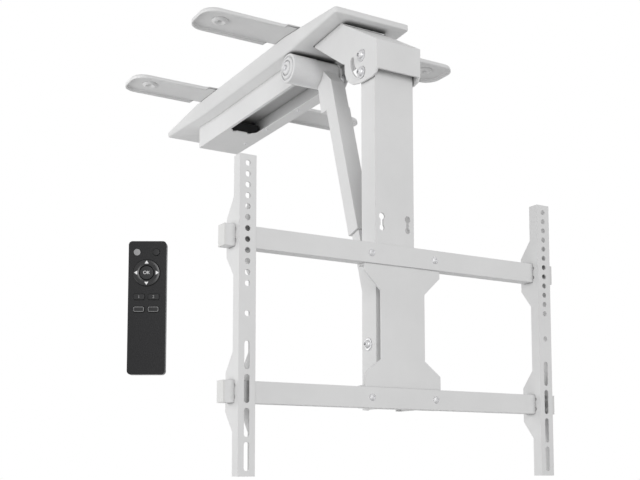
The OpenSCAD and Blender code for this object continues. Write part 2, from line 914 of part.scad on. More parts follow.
module actuator_frame() {
    translate([0, -trunnion_y, -trunnion_z]) rotate([-strut_tilt, 0, 0]) children();
}

module strut_square(w, z0, z1) {
    translate([0, -screw_offset, z0]) linear_extrude(z1 - z0) square(w, center = true);
}

// Height of a line that is level when the strut is run out, below the trunnion by neck_low
// on the screw's axis
function level_z(y) = (y + screw_offset) * tan(strut_tilt) - neck_low;

module neck_side() {
    front = -screw_offset - neck_front;
    rear = -screw_offset + neck_back;
    polygon([
        [front, level_z(front)], [front, -bore_top], [-gear_r + gear_step, -gear_step],
        [0, -gear_r + gear_step], [rear, level_z(rear)]
    ]);
}

module gearbox() {
    half = gearbox_w / 2;
    color("whitesmoke") actuator_frame() difference() {
        union() {
            x_rod(gear_r, -half, half, 0, 0);
            along_x(-neck_w / 2, neck_w / 2) neck_side();
        }
        strut_square(rod_w + slide_gap * 2, -neck_low - neck_back, -bore_top);
    }
}

module gearbox_cover() {
    half = gearbox_w / 2;
    color("white") actuator_frame() {
        along_x(half, half + cover_t) {
            circle(cover_r);
            intersection() {
                circle(cover_lobe_r);
                translate([-cover_lobe_r, -cover_lobe_r]) square(cover_lobe_r);
            }
        }
        for (a = cover_screw_angles)
            x_rod(cover_screw_r, half + cover_t, half + cover_t + cover_screw_h,
                cover_screw_ring * cos(a), cover_screw_ring * sin(a));
    }
}

module motor() {
    color("lightgray") actuator_frame()
        x_rod(motor_r, -motor_out + motor_cap_t, -gearbox_w / 2, 0, 0);
}

module motor_cap() {
    color("lightgray") actuator_frame() difference() {
        union() {
            x_rod(motor_r, -motor_out, -motor_out + motor_cap_t, 0, 0);
            along_x(-motor_out - motor_bolt_h, -motor_out) circle(motor_bolt_r, $fn = 6);
        }
        difference() {
            x_rod(motor_ring_r, -motor_out - cut_over, -motor_out + motor_ring_d, 0, 0);
            x_rod(motor_ring_r - motor_ring_w, -motor_out - cut_over, -motor_out + cut_over, 0, 0);
        }
    }
}

module trunnion_pin() {
    wall = channel_w / 2;
    color("silver") actuator_frame() {
        x_rod(trunnion_boss_r, gearbox_w / 2 + cover_t, wall - sheet_t - slide_gap, 0, 0);
        x_rod(trunnion_r, gearbox_w / 2 + cover_t, wall + slide_gap, 0, 0);
        x_rod(trunnion_head_r, wall + slide_gap, wall + slide_gap + trunnion_head_t, 0, 0);
    }
}

// The tube's upper end is cut level, to sit under the neck
module tube_side() {
    front = -screw_offset - tube_w / 2;
    rear = -screw_offset + tube_w / 2;
    polygon([[front, level_z(front)], [rear, level_z(rear)], [rear, -tube_end], [front, -tube_end]]);
}

module strut_tube() {
    color("white") actuator_frame() difference() {
        along_x(-tube_w / 2, tube_w / 2) tube_side();
        strut_square(bush_w, -tube_end - cut_over, -cut_over);
    }
}

module tube_bush() {
    color("dimgray") actuator_frame() difference() {
        strut_square(bush_w, -tube_end, -tube_end + bush_l);
        strut_square(rod_w + slide_gap * 2, -tube_end - cut_over, -tube_end + bush_l + cut_over);
    }
}

module strut_rod() {
    color("white") actuator_frame() strut_square(rod_w, -strut_l + rod_end_l, -rod_top);
}

module rod_end() {
    color("silver") actuator_frame() difference() {
        union() {
            strut_square(rod_w, -strut_l, -strut_l + rod_end_l);
            x_rod(rod_end_r, -rod_w / 2, rod_w / 2, -screw_offset, -strut_l);
        }
        x_rod(rod_pin_r + run_gap, -rod_w, rod_w, -screw_offset, -strut_l);
    }
}

// Remote control, drawn upright with its keys towards -Y

module remote_frame() {
    translate(remote_at) rotate([0, 0, remote_turn]) children();
}

remote_face = -remote_t / 2;
module key_recess(x, z, r) {
    y_rod(r + key_gap, remote_face - cut_over, remote_face + pocket_d, x, z);
}

module bar_key_2d(x, z, grow) {
    translate([x, z]) rounded_rect(bar_key_w + 2 * grow, bar_key_h + 2 * grow, bar_key_r + grow);
}

module remote_case() {
    color("black") remote_frame() difference() {
        along_y(remote_face, remote_t / 2 - remote_back_t) rounded_rect(remote_w, remote_l, remote_r);
        key_recess(col_power, row_power, small_key_r);
        key_recess(col_light, row_power, small_key_r);
        key_recess(col_ring, row_ring, ring_r);
        for (x = [col_left, col_right], z = [row_number, row_memory])
            along_y(remote_face - cut_over, remote_face + pocket_d) bar_key_2d(x, z, key_gap);
    }
}

module remote_back() {
    color("black") remote_frame() union() {
        along_y(remote_t / 2 - remote_back_t, remote_t / 2 - remote_edge)
            rounded_rect(remote_w, remote_l, remote_r);
        along_y(remote_t / 2 - remote_edge, remote_t / 2)
            rounded_rect(remote_w - 2 * remote_edge, remote_l - 2 * remote_edge, remote_r - remote_edge);
    }
}

key_back = remote_face + pocket_d - key_travel - key_gap;
module round_key(x, z, r) {
    remote_frame() y_rod(r, remote_face - key_proud, key_back, x, z);
}

module bar_key(x, z) {
    remote_frame() along_y(remote_face - key_proud, key_back) bar_key_2d(x, z, 0);
}

module power_key() {
    color("darkgray") round_key(col_power, row_power, small_key_r);
}

module light_key() {
    color("dimgray") round_key(col_light, row_power, small_key_r);
}

module ring_key() {
    color("dimgray") difference() {
        round_key(col_ring, row_ring, ring_r);
        remote_frame() y_rod(ring_bore_r, remote_face - remote_t, remote_face + remote_t, col_ring, row_ring);
    }
}

module ok_key() {
    color("dimgray") round_key(col_ring, row_ring, ok_r);
}

module number_key_1() {
    color("dimgray") bar_key(col_left, row_number);
}

module number_key_2() {
    color("dimgray") bar_key(col_right, row_number);
}

module memory_key_1() {
    color("dimgray") bar_key(col_left, row_memory);
}

module memory_key_2() {
    color("dimgray") bar_key(col_right, row_memory);
}

tray();
front_strap();
rear_strap();
strap_rivets();
actuator_channel();
channel_screws();
channel_end_plate();
power_inlet();
control_box();
hinge_bracket();
bracket_bolts();
pivot_bolt();
pivot_washers();
pivot_spacers();
mast();
screen_plate();
upper_bar();
lower_bar();
bar_bolts();
bar_nuts();
bar_end_caps();
guide_bolts();
guide_washers();
strut_pins();
side_bolts();
left_rail();
right_rail();
left_rail_screws();
right_rail_screws();
gearbox();
gearbox_cover();
motor();
motor_cap();
trunnion_pin();
strut_tube();
tube_bush();
strut_rod();
rod_end();
remote_case();
remote_back();
power_key();
light_key();
ring_key();
ok_key();
number_key_1();
number_key_2();
memory_key_1();
memory_key_2();
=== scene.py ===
# Motorized flip-down ceiling mount with its remote control: finish, fine pieces, light and camera.
import json
import math

import bmesh
import bpy
from mathutils import Matrix, Vector


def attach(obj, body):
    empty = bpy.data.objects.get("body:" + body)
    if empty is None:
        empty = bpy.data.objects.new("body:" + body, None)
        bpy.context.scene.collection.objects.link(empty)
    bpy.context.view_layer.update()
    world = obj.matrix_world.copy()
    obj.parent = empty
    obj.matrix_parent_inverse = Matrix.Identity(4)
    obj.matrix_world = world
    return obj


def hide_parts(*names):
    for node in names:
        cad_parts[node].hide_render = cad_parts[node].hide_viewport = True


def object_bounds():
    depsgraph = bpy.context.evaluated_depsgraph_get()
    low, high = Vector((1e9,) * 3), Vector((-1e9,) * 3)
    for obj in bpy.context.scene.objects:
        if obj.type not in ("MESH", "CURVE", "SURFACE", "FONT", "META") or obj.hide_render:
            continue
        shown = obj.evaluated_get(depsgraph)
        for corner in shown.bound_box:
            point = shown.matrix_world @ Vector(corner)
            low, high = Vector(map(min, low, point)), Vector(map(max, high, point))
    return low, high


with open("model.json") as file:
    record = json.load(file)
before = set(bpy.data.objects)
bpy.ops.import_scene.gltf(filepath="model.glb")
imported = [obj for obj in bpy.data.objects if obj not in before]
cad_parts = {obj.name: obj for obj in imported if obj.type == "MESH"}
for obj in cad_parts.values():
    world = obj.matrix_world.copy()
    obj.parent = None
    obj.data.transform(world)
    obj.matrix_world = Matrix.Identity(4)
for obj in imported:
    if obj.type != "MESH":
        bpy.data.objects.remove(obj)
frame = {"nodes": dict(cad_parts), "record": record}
cad_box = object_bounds()
NODES = frame["nodes"]

# In metres: a millimetre, and how far apart two points may be and still count as one
MM = 0.001
SAME_PLACE = 1e-6

# Camera, as found from the photograph's straight edges: its picture in pixels, its sensor in
# millimetres, its place and reach in metres
PICTURE_W = 640
PICTURE_H = 480
FOCAL_PX = 1012.3
AXIS_PX = (317.7, 376.9)
SENSOR = 36.0
CAMERA_AT = (-0.858, -1.592, -0.724)
CAMERA_UP_DEG = 5.28
CAMERA_TURN_DEG = -30.24
CAMERA_REACH = 50.0

# Fasteners, in millimetres. The pivot is (y, z), a side bolt (side, y, z) and a channel screw
# (x, y). A head is its radius, height, socket radius and socket depth. A shank is its radius, its
# start and end outwards from the face that its bolt stands on, and its number of sides.
PIVOT = (-323.0, -87.0)
GUIDE_DROP = 27.0
BRACKET_HALF = 40.0
SLIDE_GAP = 0.4
WASHER_T = 1.5
WASHER_R = 9.5
WASHER_CHAMFER = 0.3
THROUGH_HEAD = (6.5, 5.6, 3.0, 3.0)
THROUGH_R = 5.0
THROUGH_SIDES = 32
BAR_BOLT_X = 57.0
BAR_FRONT = -375.0
BAR_ZS = (-407.0, -619.0)
BAR_HEAD = (5.5, 3.6, 2.4, 1.8)
BAR_SHANK = (3.0, -26.5, 0.2, 24)
MAST_HALF = 35.0
SIDE_BOLTS = ((-1, -331.0, -536.0), (1, -340.0, -229.0))
SIDE_HEAD = (6.5, 4.8, 3.0, 2.6)
SIDE_SHANK = (4.0, -2.5, 0.0, 24)
CHANNEL_SCREWS = ((27.0, 218.0), (27.0, 119.0), (27.0, -3.0))
CHANNEL_UNDER = -61.0
SCREW_HEAD = (4.0, 1.9, 1.5, 1.2)
SCREW_SHANK = (2.5, -2.0, 0.0, 20)
HEAD_SIDES = 36
DOME_STEPS = 7
DOME_FROM_DEG = 12
DOME_SPAN_DEG = 66
SOCKET_RIM = 0.5

# End cap of the motor and its bolt, in millimetres: the trunnion is (y, z), and each profile is
# (radius, height)
TRUNNION = (-136.0, -47.0)
MOTOR_OUT = -70.0
MOTOR_CAP_T = 4.0
MOTOR_CAP_SIDES = 96
MOTOR_CAP = (
    (24.5, 0.0), (24.5, 1.4), (23.5, 2.6), (21.0, 3.0), (20.0, 1.2), (18.4, 1.2), (17.6, 3.4),
    (16.4, 4.4), (13.6, 4.6), (12.8, 2.6), (11.4, 2.6), (10.6, 5.0), (9.6, 6.0), (6.4, 6.2),
)
MOTOR_BOLT = ((4.9, 6.0), (4.9, 9.0), (4.3, 9.6))

# Ceiling straps and tray, in millimetres. The dimple's profile is (radius, height), and the tray's
# rim is (inset, drop) from its lip's outer edge. FOLD_MIDDLE is the share of the tray's fold at
# which its middle ring stands, and FLARE_AT_FOLD the share of the flare at the fold's upper end.
STRAP_L = 490.0
STRAP_W = 78.0
STRAP_R = 26.0
STRAP_T = 2.5
STRAP_CORNER_STEPS = 12
STRAP_YS = (("front_strap", -156.5), ("rear_strap", 156.5))
RIM_H = 8.0
RIM_FOLD = 4.5
RIM_STEPS = 6
RIM_END = 106.0
RIM_RUN_OUT = 7.0
JOIST_X = 203.2
DIMPLE = (
    (12.5, 0.0), (12.0, -0.4), (11.2, -2.0), (10.2, -3.4), (8.8, -3.9), (7.4, -3.4), (6.0, -1.8),
    (4.6, 0.0),
)
DIMPLE_SIDES = 40
TRAY_HALF_W = 70.0
TRAY_FLARE = 14.0
TRAY_ENDS = (-295.0, 400.0)
TRAY_KINKS = (-154.0, 216.0)
TRAY_END_H = 12.0
TRAY_MID_H = 21.0
TRAY_R = 5.0
TRAY_R_LEAST = 1.0
TRAY_CORNER_STEPS = 6
TRAY_LIP = 14.0
TRAY_RIM = ((0.0, 1.0), (0.3, 0.3), (1.0, 0.0))
TRAY_FOLD = 2.0
FOLD_MIDDLE = 0.3
FLARE_AT_FOLD = 0.1
SHEET_T = 2.0
ARM_MOUTH = ((-43.0, -267.0), (43.0, -176.0))

# Remote control in millimetres, in its own frame: X to its right, Z up it, keys towards -Y. A rim
# is (inset, drop) from a key's side and top, or for the crown (share of the outline, drop).
REMOTE_AT = (-480.0, -586.0, -553.0)
REMOTE_T = 9.0
KEY_PROUD = 0.8
KEY_BACK = -2.05
KEY_CROWN = ((1.0, 0.45), (0.985, 0.18), (0.95, 0.04), (0.88, 0.0))
KEY_SIDES = 56
RING_AT = (-0.7, 37.0)
RING_R = 14.2
RING_BORE = 7.9
RING_SIDES = 72
RING_RIM = ((0.0, 0.6), (0.25, 0.2), (0.7, 0.0))
BORE_RIM = ((0.7, 0.0), (0.2, 0.2), (0.0, 0.6))
OK_R = 7.3
SMALL_KEY_R = 3.6
BAR_KEY = (11.6, 6.0)
BAR_KEY_R = 1.5
COL_LEFT = -8.4
COL_RIGHT = 6.9
ROW_NUMBER = 11.2
ROW_MEMORY = -2.0
POWER_AT = (-11.0, 59.0)
LIGHT_AT = (9.2, 59.0)

# Prints on the keys: the arrows' corners from the middle of the ring's face outwards, the memory
# keys' border as (cut from the key's size, corner radius), and each label's text, size and place
PRINT_LIFT = 0.03
PRINT_T = 0.05
LABEL_T = 0.02
ARROW = ((2.0, 0.0), (-1.3, 2.2), (-1.3, -2.2))
BORDER_OUTSIDE = (1.0, 1.2)
BORDER_INSIDE = (1.7, 0.9)
LABELS = (
    ("OK", 5.0, RING_AT, "ok_key"),
    ("1", 4.4, (COL_LEFT, ROW_NUMBER), "number_key_1"),
    ("2", 4.4, (COL_RIGHT, ROW_NUMBER), "number_key_2"),
)

# Finishes: noise is (scale, detail, roughness), but for the grain, whose scale each finish gives.
# The gloss bands go from below to above a finish's own roughness, and depths are in metres.
CLOUD = (9.0, 4.0, 0.6)
GRAIN = (2.0, 0.55)
COAT_GLOSS = (-0.06, 0.08)
COAT_DEPTH = 0.0002
BLOTCH = (160.0, 5.0, 0.65)
PLATING_TINT = (0.86, 1.06)
PLATING_GLOSS = (-0.08, 0.1)
PLATING_METAL = 0.75
TURNED_SCALE = 700.0
TURNED_DISTORTION = 2.0
TURNED_BUMP = 0.08
TURNED_DEPTH = 0.0001
BEVEL_SAMPLES = 6
SMOOTH_DEG = 35.0

# Painted shade in hollows: how far around a point it is felt on the frame and on small turned
# forms, in metres, a colour's share at the deepest, and the shares of open sky between which it
# changes
HOLLOW_SHADE_REACH = 0.014
GROOVE_SHADE_REACH = 0.007
HOLLOW_SHADE_LEVEL = 0.08
HOLLOW_SHADE_SPAN = (0.05, 0.68)
HOLLOW_SHADE_SAMPLES = 8

# Stage, in metres: the floor's mottle is a noise's (scale, detail), the world's brightness goes
# from straight down (0) to straight up (1), and a lamp is its name, place, aim, size and power
FLOOR_HALF = 2.2
FLOOR_DROP = 2.4
FLOOR_TINTS = (0.80, 0.84)
FLOOR_MOTTLE = (3.0, 2.0)
FLOOR_ROUGH = 0.9
WORLD_LEVELS = ((0.0, 0.26), (0.35, 0.54), (0.5, 0.62), (0.7, 0.52), (1.0, 0.30))
LAMPS = (
    ("key_left", (-3.2, -0.5, -1.2), (0.0, -0.1, -0.2), 1.2, 14.0),
    ("side_left", (-1.1, 0.4, -0.33), (-0.1, 0.3, 0.0), 0.7, 3.9),
    ("fill_front", (-1.2, -3.7, 0.3), (0.0, -0.2, -0.3), 1.8, 40.0),
    ("rim_right", (2.8, 1.6, 1.0), (0.0, 0.0, -0.3), 1.6, 12.0),
)


# Materials

def grey(level):
    return (level, level, level)


def new_material(name):
    mat = bpy.data.materials.new(name)
    mat.use_nodes = True
    tree = mat.node_tree
    return mat, tree, tree.nodes["Principled BSDF"]


def noise(tree, scale, detail, rough=0.5):
    coord = tree.nodes.new("ShaderNodeTexCoord")
    node = tree.nodes.new("ShaderNodeTexNoise")
    node.inputs["Scale"].default_value = scale
    node.inputs["Detail"].default_value = detail
    node.inputs["Roughness"].default_value = rough
    tree.links.new(coord.outputs["Object"], node.inputs["Vector"])
    return node


def ramp(tree, source, low, high, start=0.3, end=0.7):
    """Colour that goes from low to high as the source goes from start to end."""
    node = tree.nodes.new("ShaderNodeValToRGB")
    node.color_ramp.elements[0].position = start
    node.color_ramp.elements[1].position = end
    node.color_ramp.elements[0].color = (*low, 1.0)
    node.color_ramp.elements[1].color = (*high, 1.0)
    tree.links.new(source, node.inputs["Fac"])
    return node.outputs["Color"]


def shade(color, factor):
    return tuple(min(1.0, c * factor) for c in color)


def rounded_bump(tree, bsdf, height, strength, distance, edge):
    """Fine relief over edges that are softened by a small radius."""
    bevel = tree.nodes.new("ShaderNodeBevel")
    bevel.samples = BEVEL_SAMPLES
    bevel.inputs["Radius"].default_value = edge
    bump = tree.nodes.new("ShaderNodeBump")
    bump.inputs["Strength"].default_value = strength
    bump.inputs["Distance"].default_value = distance
    tree.links.new(height, bump.inputs["Height"])
    tree.links.new(bevel.outputs["Normal"], bump.inputs["Normal"])
    tree.links.new(bump.outputs["Normal"], bsdf.inputs["Normal"])


def socket(sockets, identifier):
    """A mix node's sockets share their names, so they are found by identifier."""
    return next(item for item in sockets if item.identifier == identifier)


def painted_hollow_shade(tree, tint, reach):
    """The same colour with painted shade, darker deep in holes and narrow gaps where shadow falls.
    """
    # Painted shade: ambient occlusion darkens the base colour where other surfaces stand close.
    closeness = tree.nodes.new("ShaderNodeAmbientOcclusion")
    closeness.samples = HOLLOW_SHADE_SAMPLES
    closeness.inputs["Distance"].default_value = reach
    level = ramp(tree, closeness.outputs["AO"], grey(HOLLOW_SHADE_LEVEL), grey(1.0), *HOLLOW_SHADE_SPAN)
    mix = tree.nodes.new("ShaderNodeMix")
    mix.data_type = "RGBA"
    mix.blend_type = "MULTIPLY"
    mix.inputs["Factor"].default_value = 1.0
    tree.links.new(tint, socket(mix.inputs, "A_Color"))
    tree.links.new(level, socket(mix.inputs, "B_Color"))
    return socket(mix.outputs, "Result_Color")


def coated(name, color, rough, grain=1400.0, bump=0.25, edge=0.0007, spread=0.03, shine=0.5,
           hollow_shade=0.0):
    """Powder coat, paint or moulded plastic: faint cloudy colour, fine grain, softened edges and,
    if asked, painted shade in hollows.
    """
    mat, tree, bsdf = new_material(name)
    cloud = noise(tree, *CLOUD)
    tint = ramp(tree, cloud.outputs["Fac"], shade(color, 1 - spread), shade(color, 1 + spread))
    # Painted shade: the colour is multiplied darker in holes and narrow gaps.
    if hollow_shade:
        tint = painted_hollow_shade(tree, tint, hollow_shade)
    tree.links.new(tint, bsdf.inputs["Base Color"])
    fine = noise(tree, grain, *GRAIN)
    gloss = ramp(tree, fine.outputs["Fac"], *(grey(rough + step) for step in COAT_GLOSS))
    tree.links.new(gloss, bsdf.inputs["Roughness"])
    bsdf.inputs["Specular IOR Level"].default_value = shine
    rounded_bump(tree, bsdf, fine.outputs["Fac"], bump, COAT_DEPTH, edge)
    return mat


def brushed(name, color, rough, edge=0.0003):
    """Zinc-plated steel: turned marks, mottled plating and softened edges."""
    mat, tree, bsdf = new_material(name)
    blotch = noise(tree, *BLOTCH)
    tint = ramp(tree, blotch.outputs["Fac"], *(shade(color, factor) for factor in PLATING_TINT))
    tree.links.new(tint, bsdf.inputs["Base Color"])
    coord = tree.nodes.new("ShaderNodeTexCoord")
    wave = tree.nodes.new("ShaderNodeTexWave")
    wave.wave_type = "RINGS"
    wave.inputs["Scale"].default_value = TURNED_SCALE
    wave.inputs["Distortion"].default_value = TURNED_DISTORTION
    tree.links.new(coord.outputs["Object"], wave.inputs["Vector"])
    gloss = ramp(tree, blotch.outputs["Fac"], *(grey(rough + step) for step in PLATING_GLOSS))
    tree.links.new(gloss, bsdf.inputs["Roughness"])
    bsdf.inputs["Metallic"].default_value = PLATING_METAL
    rounded_bump(tree, bsdf, wave.outputs["Fac"], TURNED_BUMP, TURNED_DEPTH, edge)
    return mat


def on_remote(name, color, rough, grain=2600.0, bump=0.1, edge=0.0003, **more):
    """A finish at the remote's small scale."""
    return coated(name, color, rough, grain, bump, edge, **more)


# The frame, gearbox and motor finishes carry painted shade in their holes and gaps.
FRAME_WHITE = coated("frame_white", grey(0.80), 0.48, shine=0.35, hollow_shade=HOLLOW_SHADE_REACH)
GEAR_WHITE = coated("gear_white", grey(0.80), 0.40, 900.0, 0.15, shine=0.4, hollow_shade=HOLLOW_SHADE_REACH)
MOTOR_GREY = coated("motor_grey", (0.79, 0.79, 0.795), 0.3, 700.0, 0.1, hollow_shade=GROOVE_SHADE_REACH)
NYLON = coated("nylon", (0.78, 0.78, 0.77), 0.5, 500.0, 0.1)
DARK_PLASTIC = coated("dark_plastic", (0.02, 0.02, 0.022), 0.45, 900.0, spread=0.1)
REMOTE_BLACK = on_remote("remote_black", (0.007, 0.007, 0.008), 0.3, 1700.0, 0.2, 0.0005,
                         spread=0.1, shine=0.3)
KEY_BLACK = on_remote("key_black", (0.010, 0.010, 0.011), 0.42, spread=0.1, shine=0.35)
RING_BLACK = on_remote("ring_black", (0.008, 0.008, 0.009), 0.2, bump=0.05, edge=0.0002, spread=0.1)
KEY_GREY = on_remote("key_grey", (0.30, 0.30, 0.305), 0.35, spread=0.08)
PRINT_WHITE = on_remote("print_white", grey(0.86), 0.5, bump=0.05, edge=0.0001)
PRINT_GREY = on_remote("print_grey", grey(0.36), 0.5, bump=0.05, edge=0.0001)
ZINC = brushed("bolt_zinc", (0.72, 0.72, 0.73), 0.36)

SLOT_MATERIALS = {
    "frame_white": FRAME_WHITE,
    "bolt_zinc": ZINC,
    "motor_grey": MOTOR_GREY,
    "nylon": NYLON,
    "black_plastic": DARK_PLASTIC,
    "key_rubber": KEY_BLACK,
    "key_grey": KEY_GREY,
}
NODE_MATERIALS = {
    "gearbox": GEAR_WHITE,
    "gearbox_cover": GEAR_WHITE,
    "remote_case": REMOTE_BLACK,
    "remote_back": REMOTE_BLACK,
}


def dress_nodes():
    """Gives every CAD node its own finish, or else that of its material slot."""
    for part in frame["record"]["subparts"]:
        material = NODE_MATERIALS.get(part["node"], SLOT_MATERIALS[part["material_slot"]])
        for slot in NODES[part["node"]].material_slots:
            slot.material = material


# Mesh helpers

def make(name, bm, material, body, slot, keep_normals=False):
    """Turns a finished bmesh into a smooth-shaded piece that rides on a body."""
    mesh = bpy.data.meshes.new(name)
    if not keep_normals:
        bmesh.ops.recalc_face_normals(bm, faces=bm.faces)
    for face in bm.faces:
        face.smooth = True
    for edge in bm.edges:
        if len(edge.link_faces) == 2 and edge.calc_face_angle(0.0) > math.radians(SMOOTH_DEG):
            edge.smooth = False
    bm.to_mesh(mesh)
    bm.free()
    obj = bpy.data.objects.new(name, mesh)
    bpy.context.scene.collection.objects.link(obj)
    mesh.materials.append(material)
    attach(obj, body)
    return obj


def make_facing(name, bm, faces_down, *args):
    """Makes a piece from an open skin whose first face looks down, or else up."""
    bm.faces.ensure_lookup_table()
    bmesh.ops.recalc_face_normals(bm, faces=bm.faces)
    if (bm.faces[0].normal.z < 0) != faces_down:
        bmesh.ops.reverse_faces(bm, faces=bm.faces)
    return make(name, bm, *args, keep_normals=True)


def plate_thickness(obj, thick):
    """Gives an open skin the thickness of its sheet, towards its inside."""
    solid = obj.modifiers.new("sheet", "SOLIDIFY")
    solid.thickness = thick * MM
    solid.offset = -1.0
    solid.use_even_offset = True


def bridge(bm, low, high):
    count = len(low)
    for i in range(count):
        j = (i + 1) % count
        bm.faces.new((low[i], low[j], high[j], high[i]))


def skin(bm, rings):
    for outer, inner in zip(rings, rings[1:]):
        bridge(bm, outer, inner)


def verts_at(bm, points):
    return [bm.verts.new(Vector(point) * MM) for point in points]


def loop_edges(bm, ring):
    return [bm.edges.get(pair) or bm.edges.new(pair) for pair in zip(ring, ring[1:] + ring[:1])]


def around(verts):
    """A convex ring's corners in order round their middle."""
    middle = sum((v.co for v in verts), Vector()) / len(verts)
    return sorted(verts, key=lambda v: math.atan2(v.co.y - middle.y, v.co.x - middle.x))


def circle_points(radius, count=KEY_SIDES):
    turns = (2 * math.pi * i / count for i in range(count))
    return [(radius * math.cos(turn), radius * math.sin(turn)) for turn in turns]


def outline(width, height, radius, steps=8):
    """Rounded rectangle's points, counter-clockwise."""
    points = []
    for side_x, side_y, start in ((1, 1, 0), (-1, 1, 90), (-1, -1, 180), (1, -1, 270)):
        for i in range(steps + 1):
            angle = math.radians(start + 90 * i / steps)
            points.append((side_x * (width / 2 - radius) + radius * math.cos(angle),
                           side_y * (height / 2 - radius) + radius * math.sin(angle)))
    return points


def hex_reach(radius, angle):
    """Distance from the middle of a hexagon to its side, at an angle from one of its corners."""
    sector = (angle + math.pi / 6) % (math.pi / 3) - math.pi / 6
    return radius * math.cos(math.pi / 6) / math.cos(sector)


def lathe(bm, profile, count, matrix, hex_from=None):
    """Solid of revolution along its Z, closed at both ends; rings from hex_from on are hexagons."""
    rings = []
    for index, (radius, height) in enumerate(profile):
        hexed = hex_from is not None and index >= hex_from
        ring = []
        for i in range(count):
            angle = 2 * math.pi * i / count
            reach = hex_reach(radius, angle) if hexed else radius
            point = Vector((reach * math.cos(angle), reach * math.sin(angle), height))
            ring.append(bm.verts.new(matrix @ point))
        rings.append(ring)
    skin(bm, rings)
    bm.faces.new(list(reversed(rings[0])))
    bm.faces.new(rings[-1])


def loft(bm, levels, matrix):
    """Closed skin through outlines at depths: each level is (points, y)."""
    rings = [[bm.verts.new(matrix @ Vector((x, y, z))) for x, z in points] for points, y in levels]
    skin(bm, rings)
    bm.faces.new(rings[0])
    bm.faces.new(list(reversed(rings[-1])))


def towards(axis, at):
    """Matrix that puts a lathe's Z along an axis at a place given in millimetres."""
    turn = Vector((0, 0, 1)).rotation_difference(Vector(axis)).to_matrix().to_4x4()
    return Matrix.Translation(Vector(at) * MM) @ turn @ Matrix.Scale(MM, 4)


# Fasteners

def button_head(bm, radius, height, socket_r, depth, matrix):
    """Domed head with a hexagon socket, from its seat up."""
    points = []
    for i in range(DOME_STEPS + 1):
        angle = math.radians(DOME_FROM_DEG + DOME_SPAN_DEG * i / DOME_STEPS)
        points.append((radius * math.cos(angle), height * math.sin(angle)))
    rim = max(socket_r + SOCKET_RIM, points[-1][0])
    dome = [(radius, 0.0)] + [point for point in points if point[0] > rim] + [(rim, height)]
    hexagon = [(socket_r, height), (socket_r, height - depth)]
    lathe(bm, dome + hexagon, HEAD_SIDES, matrix, len(dome))


def shank(bm, radius, start, end, sides, matrix):
    lathe(bm, [(radius, start), (radius, end)], sides, matrix)


def washer(bm, matrix):
    inner = WASHER_R - WASHER_CHAMFER
    profile = [(inner, 0.0), (WASHER_R, WASHER_CHAMFER), (WASHER_R, WASHER_T - WASHER_CHAMFER),
               (inner, WASHER_T)]
    lathe(bm, profile, HEAD_SIDES, matrix)


def bar_bolt_pieces():
    bm = bmesh.new()
    for z in BAR_ZS:
        for side in (-1, 1):
            matrix = towards((0, -1, 0), (side * BAR_BOLT_X, BAR_FRONT, z))
            button_head(bm, *BAR_HEAD, matrix)
            shank(bm, *BAR_SHANK, matrix)
    obj = make("bar_bolts_detailed", bm, ZINC, "mast", "bolt_zinc")
    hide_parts("bar_bolts")


def through_bolt(name, node, body, drop, start):
    """Bolt through both cheeks with a domed socket head on each side."""
    bm = bmesh.new()
    at_y, at_z = PIVOT[0], PIVOT[1] - drop
    for side in (-1, 1):
        button_head(bm, *THROUGH_HEAD, towards((side, 0, 0), (side * start, at_y, at_z)))
    shank(bm, THROUGH_R, 0.0, 2 * start, THROUGH_SIDES, towards((1, 0, 0), (-start, at_y, at_z)))
    obj = make(name, bm, ZINC, body, "bolt_zinc")
    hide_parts(node)


def side_bolt_pieces():
    bm = bmesh.new()
    for side, y, z in SIDE_BOLTS:
        matrix = towards((side, 0, 0), (side * MAST_HALF, y, z))
        shank(bm, *SIDE_SHANK, matrix)
        washer(bm, matrix)
        button_head(bm, *SIDE_HEAD, matrix @ Matrix.Translation((0, 0, WASHER_T)))
    obj = make("side_bolts_detailed", bm, ZINC, "mast", "bolt_zinc")
    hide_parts("side_bolts")


def channel_screw_pieces():
    bm = bmesh.new()
    for x, y in CHANNEL_SCREWS:
        matrix = towards((0, 0, -1), (x, y, CHANNEL_UNDER))
        button_head(bm, *SCREW_HEAD, matrix)
        shank(bm, *SCREW_SHANK, matrix)
    obj = make("channel_screws_detailed", bm, ZINC, "root", "bolt_zinc")
    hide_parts("channel_screws")


def motor_cap_piece():
    """End cap of the motor: chamfered rim, raised ring between two grooves, hub and bolt."""
    matrix = towards((-1, 0, 0), (MOTOR_OUT + MOTOR_CAP_T, *TRUNNION))
    bm = bmesh.new()
    lathe(bm, MOTOR_CAP, MOTOR_CAP_SIDES, matrix)
    cap = make("motor_cap_detailed", bm, MOTOR_GREY, "actuator", "motor_grey")
    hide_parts("motor_cap")
    bm = bmesh.new()
    lathe(bm, MOTOR_BOLT, HEAD_SIDES, matrix, 0)
    make("motor_cap_bolt", bm, ZINC, "actuator", "bolt_zinc")


# Ceiling straps

def strap_outline():
    """Plan of a strap as (x, y), with extra points where its rim runs out."""
    quarter = STRAP_CORNER_STEPS + 1
    corners = outline(STRAP_L, STRAP_W, STRAP_R, STRAP_CORNER_STEPS)
    stops = (RIM_END, RIM_END - RIM_RUN_OUT)
    upper = [(x, STRAP_W / 2) for x in (stops[0], stops[1], -stops[1], -stops[0])]
    lower = [(-x, -y) for x, y in upper]
    return corners[:quarter] + upper + corners[quarter:3 * quarter] + lower + corners[3 * quarter:]


def drawn_in(x, y, inset):
    """A point of the strap's outline, moved inwards by a distance."""
    core = (STRAP_L / 2 - STRAP_R, STRAP_W / 2 - STRAP_R)
    near = (max(-core[0], min(core[0], x)), max(-core[1], min(core[1], y)))
    away = Vector((x - near[0], y - near[1]))
    share = (away.length - inset) / away.length
    return near[0] + away.x * share, near[1] + away.y * share


